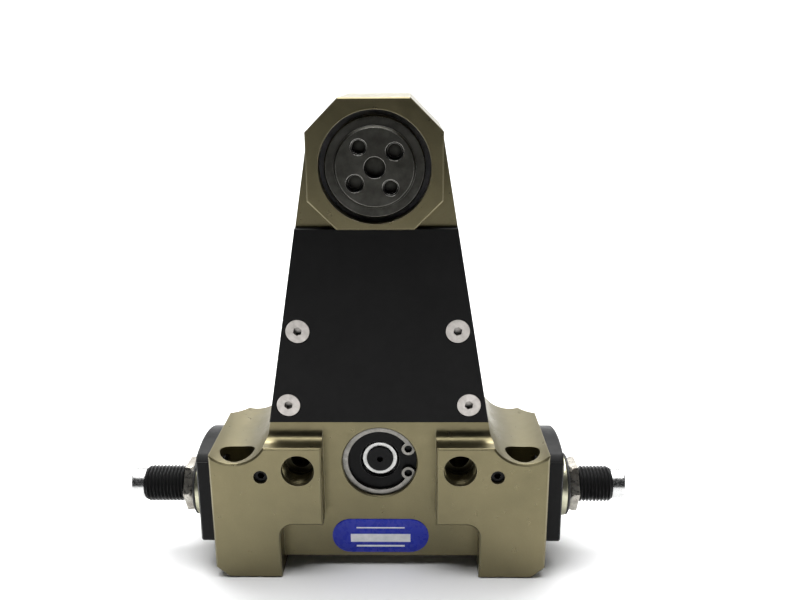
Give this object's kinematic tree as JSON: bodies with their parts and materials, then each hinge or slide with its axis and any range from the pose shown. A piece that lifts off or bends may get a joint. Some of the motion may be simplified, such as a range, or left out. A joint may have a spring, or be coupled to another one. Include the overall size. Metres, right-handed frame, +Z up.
{
  "type": "pneumatic swivel jaw unit",
  "caption": "Rack-and-pinion pneumatic swivel unit for a gripper jaw, with a tapered gear-train arm and a round output flange.",
  "frame": {"origin": "midway between the two mounting holes, on the plane of the feet", "axes": "+X along the cylinder to the right seen from the front, +Y from the front to the rear, +Z up the arm"},
  "size_m": [0.1394, 0.036, 0.1264],
  "materials": {
    "bearing_steel": "ground",
    "bush": "sintered bronze",
    "cap_screws": "black oxide",
    "cover_plate": "black anodised",
    "damper_body": "black oxide, threaded",
    "damper_tip": "bright",
    "dark_steel": "hardened",
    "end_cap": "black anodised",
    "flange_steel": "gunmetal, hardened",
    "guide_ring": "filled polymer",
    "holder": "black anodised",
    "housing": "hard anodised, olive",
    "label": "printed",
    "lock_nut": "nickel plated",
    "piston": "turned",
    "polished_steel": "polished",
    "rubber": "matt",
    "screws": "stainless",
    "sealing_ring": "yellow passivated",
    "spring_steel": "phosphated"
  },
  "bodies": {
    "body": {"bearing_holder": "holder", "cap_orings": "rubber", "cap_screws_left": "cap_screws", "cap_screws_right": "cap_screws", "circlip": "spring_steel", "cover_plate": "cover_plate", "cover_screws": "screws", "damper_body_left": "damper_body", "damper_body_right": "damper_body", "damper_tip_left": "damper_tip", "damper_tip_right": "damper_tip", "end_cap_left": "end_cap", "end_cap_right": "end_cap", "flange_seal": "rubber", "holder_oring": "rubber", "housing": "housing", "idler_clips": "spring_steel", "idler_pin_lower": "bearing_steel", "idler_pin_upper": "bearing_steel", "idler_washers": "bearing_steel", "label_plate": "label", "lock_nut_left": "lock_nut", "lock_nut_right": "lock_nut", "output_front_bearing_balls": "bearing_steel", "output_front_bearing_outer_ring": "bearing_steel", "output_rear_bearing_balls": "bearing_steel", "output_rear_bearing_outer_ring": "bearing_steel", "pinion_bearing_seal": "rubber", "pinion_front_bearing_balls": "bearing_steel", "pinion_front_bearing_outer_ring": "bearing_steel", "pinion_rear_bearing_balls": "bearing_steel", "pinion_rear_bearing_outer_ring": "bearing_steel", "rear_plug": "bearing_steel", "sealing_ring_left": "sealing_ring", "sealing_ring_right": "sealing_ring", "throttle_screws": "cap_screws"},
    "output": {"output_flange": "flange_steel", "output_gear": "dark_steel", "output_spacer": "bearing_steel", "shaft_clip": "spring_steel", "output_front_bearing_inner_ring": "bearing_steel", "output_rear_bearing_inner_ring": "bearing_steel"},
    "upper_idler": {"idler_gear_upper": "dark_steel", "idler_bush_upper": "bush"},
    "lower_idler": {"idler_gear_lower": "dark_steel", "idler_bush_lower": "bush"},
    "pinion": {"pinion_shaft": "dark_steel", "pinion_front_bearing_inner_ring": "bearing_steel", "pinion_rear_bearing_inner_ring": "bearing_steel"},
    "rack": {"rack": "dark_steel", "piston_left": "piston", "piston_right": "piston", "piston_seals": "rubber", "guide_rings": "guide_ring"},
    "rod_left": {"damper_rod_left": "polished_steel"},
    "rod_right": {"damper_rod_right": "polished_steel"}
  },
  "joints": [
    {"name": "output_swivel", "type": "hinge", "parent": "body", "child": "output", "pos_m": [0, 0.012, 0.1104], "axis": [0, -1, 0], "range_deg": [-83.2, 96.8]},
    {"name": "upper_idler_spin", "type": "hinge", "parent": "body", "child": "upper_idler", "pos_m": [0, 0.012, 0.0879], "axis": [0, -1, 0], "range_deg": [-44, 38]},
    {"name": "lower_idler_spin", "type": "hinge", "parent": "body", "child": "lower_idler", "pos_m": [0, 0.012, 0.0554], "axis": [0, -1, 0], "range_deg": [-34.5, 40]},
    {"name": "pinion_spin", "type": "hinge", "parent": "body", "child": "pinion", "pos_m": [0, 0.012, 0.0314], "axis": [0, -1, 0], "range_deg": [-97, 83.4]},
    {"name": "rack_slide", "type": "slide", "parent": "body", "child": "rack", "axis": [1, 0, 0], "range_m": [-0.01184, 0.01018]},
    {"name": "left_damper_push", "type": "slide", "parent": "body", "child": "rod_left", "axis": [-1, 0, 0], "range_m": [0, 0.004], "stiffness_N_per_m": 400, "springref_m": -0.001},
    {"name": "right_damper_push", "type": "slide", "parent": "body", "child": "rod_right", "axis": [1, 0, 0], "range_m": [0, 0.004], "stiffness_N_per_m": 400, "springref_m": -0.001}
  ],
  "couplings": [
    {"joint": "upper_idler_spin", "follows": "output_swivel", "ratio": -0.45161},
    {"joint": "lower_idler_spin", "follows": "output_swivel", "ratio": 0.41176},
    {"joint": "pinion_spin", "follows": "output_swivel", "ratio": -1},
    {"joint": "rack_slide", "follows": "output_swivel", "m_per_rad": -0.007}
  ]
}
